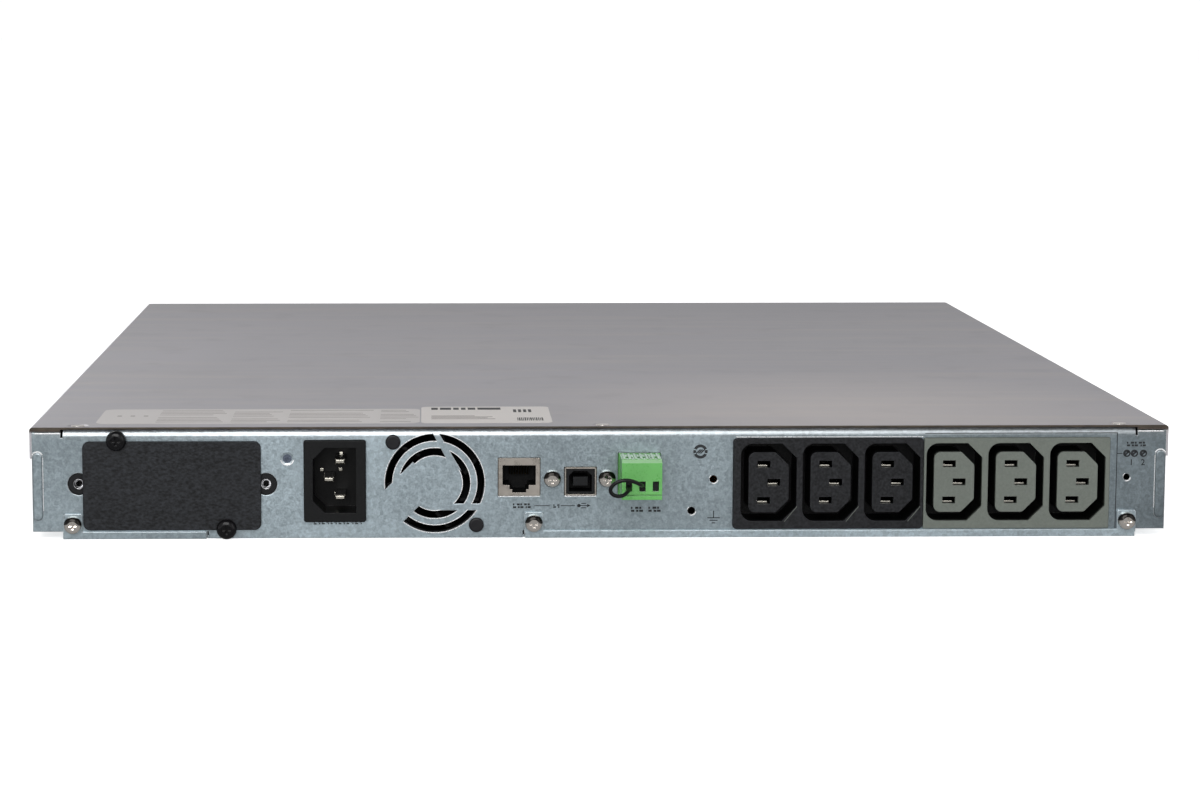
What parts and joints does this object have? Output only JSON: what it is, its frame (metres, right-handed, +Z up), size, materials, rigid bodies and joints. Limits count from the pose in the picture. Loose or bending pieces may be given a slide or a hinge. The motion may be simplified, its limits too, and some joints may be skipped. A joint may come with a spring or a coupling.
{
  "type": "rackmount ups",
  "caption": "Flat rackmount uninterruptible power supply with a sheet steel case, rear mains inlet, power outlets, data ports and fan, and a front display and battery drawer.",
  "frame": {"origin": "centre of the case's bottom face: midway across the 438 mm width and midway between the front bezel's face and the rear panel's face", "axes": "+Z up, the front bezel faces -Y and the socket panel faces +Y, +X is on the right seen from the front"},
  "size_m": [0.438, 0.5351, 0.0433],
  "materials": {
    "galvanised_steel": "zinc-plated sheet steel, satin, faint spangle",
    "cover_steel": "warm grey satin coated sheet steel",
    "tray_steel": "zinc-plated sheet steel",
    "bright_screws": "bright nickel-plated pan heads",
    "black_screws": "black oxide, glossy",
    "black_plate": "black textured powder coat",
    "black_moulding": "black moulded plastic",
    "fan_blades": "black glass-filled plastic",
    "push_rivets": "black nylon",
    "inserts": "turned steel",
    "inlet_plastic": "black moulded plastic, fine grain",
    "outlet_plastic_black": "black moulded plastic, fine grain",
    "outlet_plastic_grey": "olive grey moulded plastic",
    "plated_contacts": "tin-plated brass",
    "gold_contacts": "gold-plated spring wire",
    "port_shells": "nickel-plated shell",
    "green_terminal": "green polyamide",
    "wire_insulation": "black insulation",
    "lead_insulation": "coloured lead insulation",
    "ribbon_insulation": "grey ribbon cable",
    "circuit_board": "green solder mask on glass-epoxy",
    "aluminium_fins": "extruded aluminium",
    "ferrite": "ferrite cores with taped windings",
    "enamelled_copper": "enamelled copper winding",
    "capacitor_sleeve": "dark blue shrink sleeve",
    "relay_cases": "black relay cases",
    "filter_can": "tinned screening can",
    "connector_grey": "grey nylon connector",
    "battery_case": "dark grey battery case",
    "handle_steel": "black coated steel strip",
    "bezel_plastic": "dark graphite moulded plastic",
    "button_rubber": "grey button caps",
    "display_window": "smoked clear pane",
    "display_frame": "bent display frame",
    "light_pipes": "clear light pipes",
    "label_film": "satin printed film"
  },
  "bodies": {
    "chassis": {"ac_leads": "lead_insulation", "base_pan": "galvanised_steel", "battery_socket": "connector_grey", "board_screws": "bright_screws", "board_standoffs": "inserts", "capacitors": "capacitor_sleeve", "card_cage": "black_moulding", "card_cover_screws": "black_screws", "card_inserts": "inserts", "card_slot_cover": "black_plate", "chassis_screws": "bright_screws", "chokes": "enamelled_copper", "comm_board": "circuit_board", "control_bezel": "bezel_plastic", "cover_screws": "bright_screws", "display_board": "circuit_board", "divider_bracket": "galvanised_steel", "emi_filter": "filter_can", "fan_frame": "black_moulding", "fan_rivets": "push_rivets", "heatsinks": "aluminium_fins", "inlet_housing": "inlet_plastic", "inlet_pins": "plated_contacts", "lcd_module": "display_frame", "lcd_window": "display_window", "logic_board": "circuit_board", "outlet_block_black": "outlet_plastic_black", "outlet_block_grey": "outlet_plastic_grey", "outlet_board": "circuit_board", "outlet_contacts": "plated_contacts", "port_screws": "bright_screws", "power_board": "circuit_board", "rating_labels": "label_film", "rear_panel": "galvanised_steel", "relays": "relay_cases", "ribbon_cables": "ribbon_insulation", "rj45_contacts": "gold_contacts", "rj45_insert": "black_moulding", "rj45_shell": "port_shells", "status_lights": "light_pipes", "terminal_header": "green_terminal", "terminal_pins": "plated_contacts", "top_cover": "cover_steel", "transformers": "ferrite", "usb_insert": "black_moulding", "usb_shell": "port_shells"},
    "fan_rotor": {"fan_rotor": "fan_blades"},
    "terminal_plug": {"terminal_plug": "green_terminal", "terminal_screws": "bright_screws", "jumper_wire": "wire_insulation"},
    "battery_tray": {"battery_tray": "tray_steel", "battery_blocks": "battery_case", "battery_links": "plated_contacts", "tray_connector": "connector_grey", "tray_handle": "handle_steel"},
    "battery_cover": {"battery_cover": "bezel_plastic"},
    "nav_button_up": {"nav_button_up": "button_rubber"},
    "nav_button_down": {"nav_button_down": "button_rubber"},
    "nav_button_enter": {"nav_button_enter": "button_rubber"},
    "power_button": {"power_button": "button_rubber"}
  },
  "joints": [
    {"name": "fan_spin", "type": "hinge", "parent": "chassis", "child": "fan_rotor", "pos_m": [0.0638, 0.2535, 0.0213], "axis": [0, 1, 0], "continuous": true},
    {"name": "terminal_pull", "type": "slide", "parent": "chassis", "child": "terminal_plug", "axis": [0, 1, 0], "range_m": [0, 0.012]},
    {"name": "battery_slide", "type": "slide", "parent": "chassis", "child": "battery_tray", "axis": [0, -1, 0], "range_m": [0, 0.3]},
    {"name": "cover_pull", "type": "slide", "parent": "chassis", "child": "battery_cover", "axis": [0, -1, 0], "range_m": [0, 0.36]},
    {"name": "nav_button_up_press", "type": "slide", "parent": "chassis", "child": "nav_button_up", "axis": [0, 1, 0], "range_m": [0, 0.0012], "stiffness_N_per_m": 400, "springref_m": -0.001},
    {"name": "nav_button_down_press", "type": "slide", "parent": "chassis", "child": "nav_button_down", "axis": [0, 1, 0], "range_m": [0, 0.0012], "stiffness_N_per_m": 400, "springref_m": -0.001},
    {"name": "nav_button_enter_press", "type": "slide", "parent": "chassis", "child": "nav_button_enter", "axis": [0, 1, 0], "range_m": [0, 0.0012], "stiffness_N_per_m": 400, "springref_m": -0.001},
    {"name": "power_button_press", "type": "slide", "parent": "chassis", "child": "power_button", "axis": [0, 1, 0], "range_m": [0, 0.0012], "stiffness_N_per_m": 400, "springref_m": -0.001}
  ],
  "couplings": [
    {"joint": "cover_pull", "follows": "battery_slide", "ratio": 1.2}
  ]
}
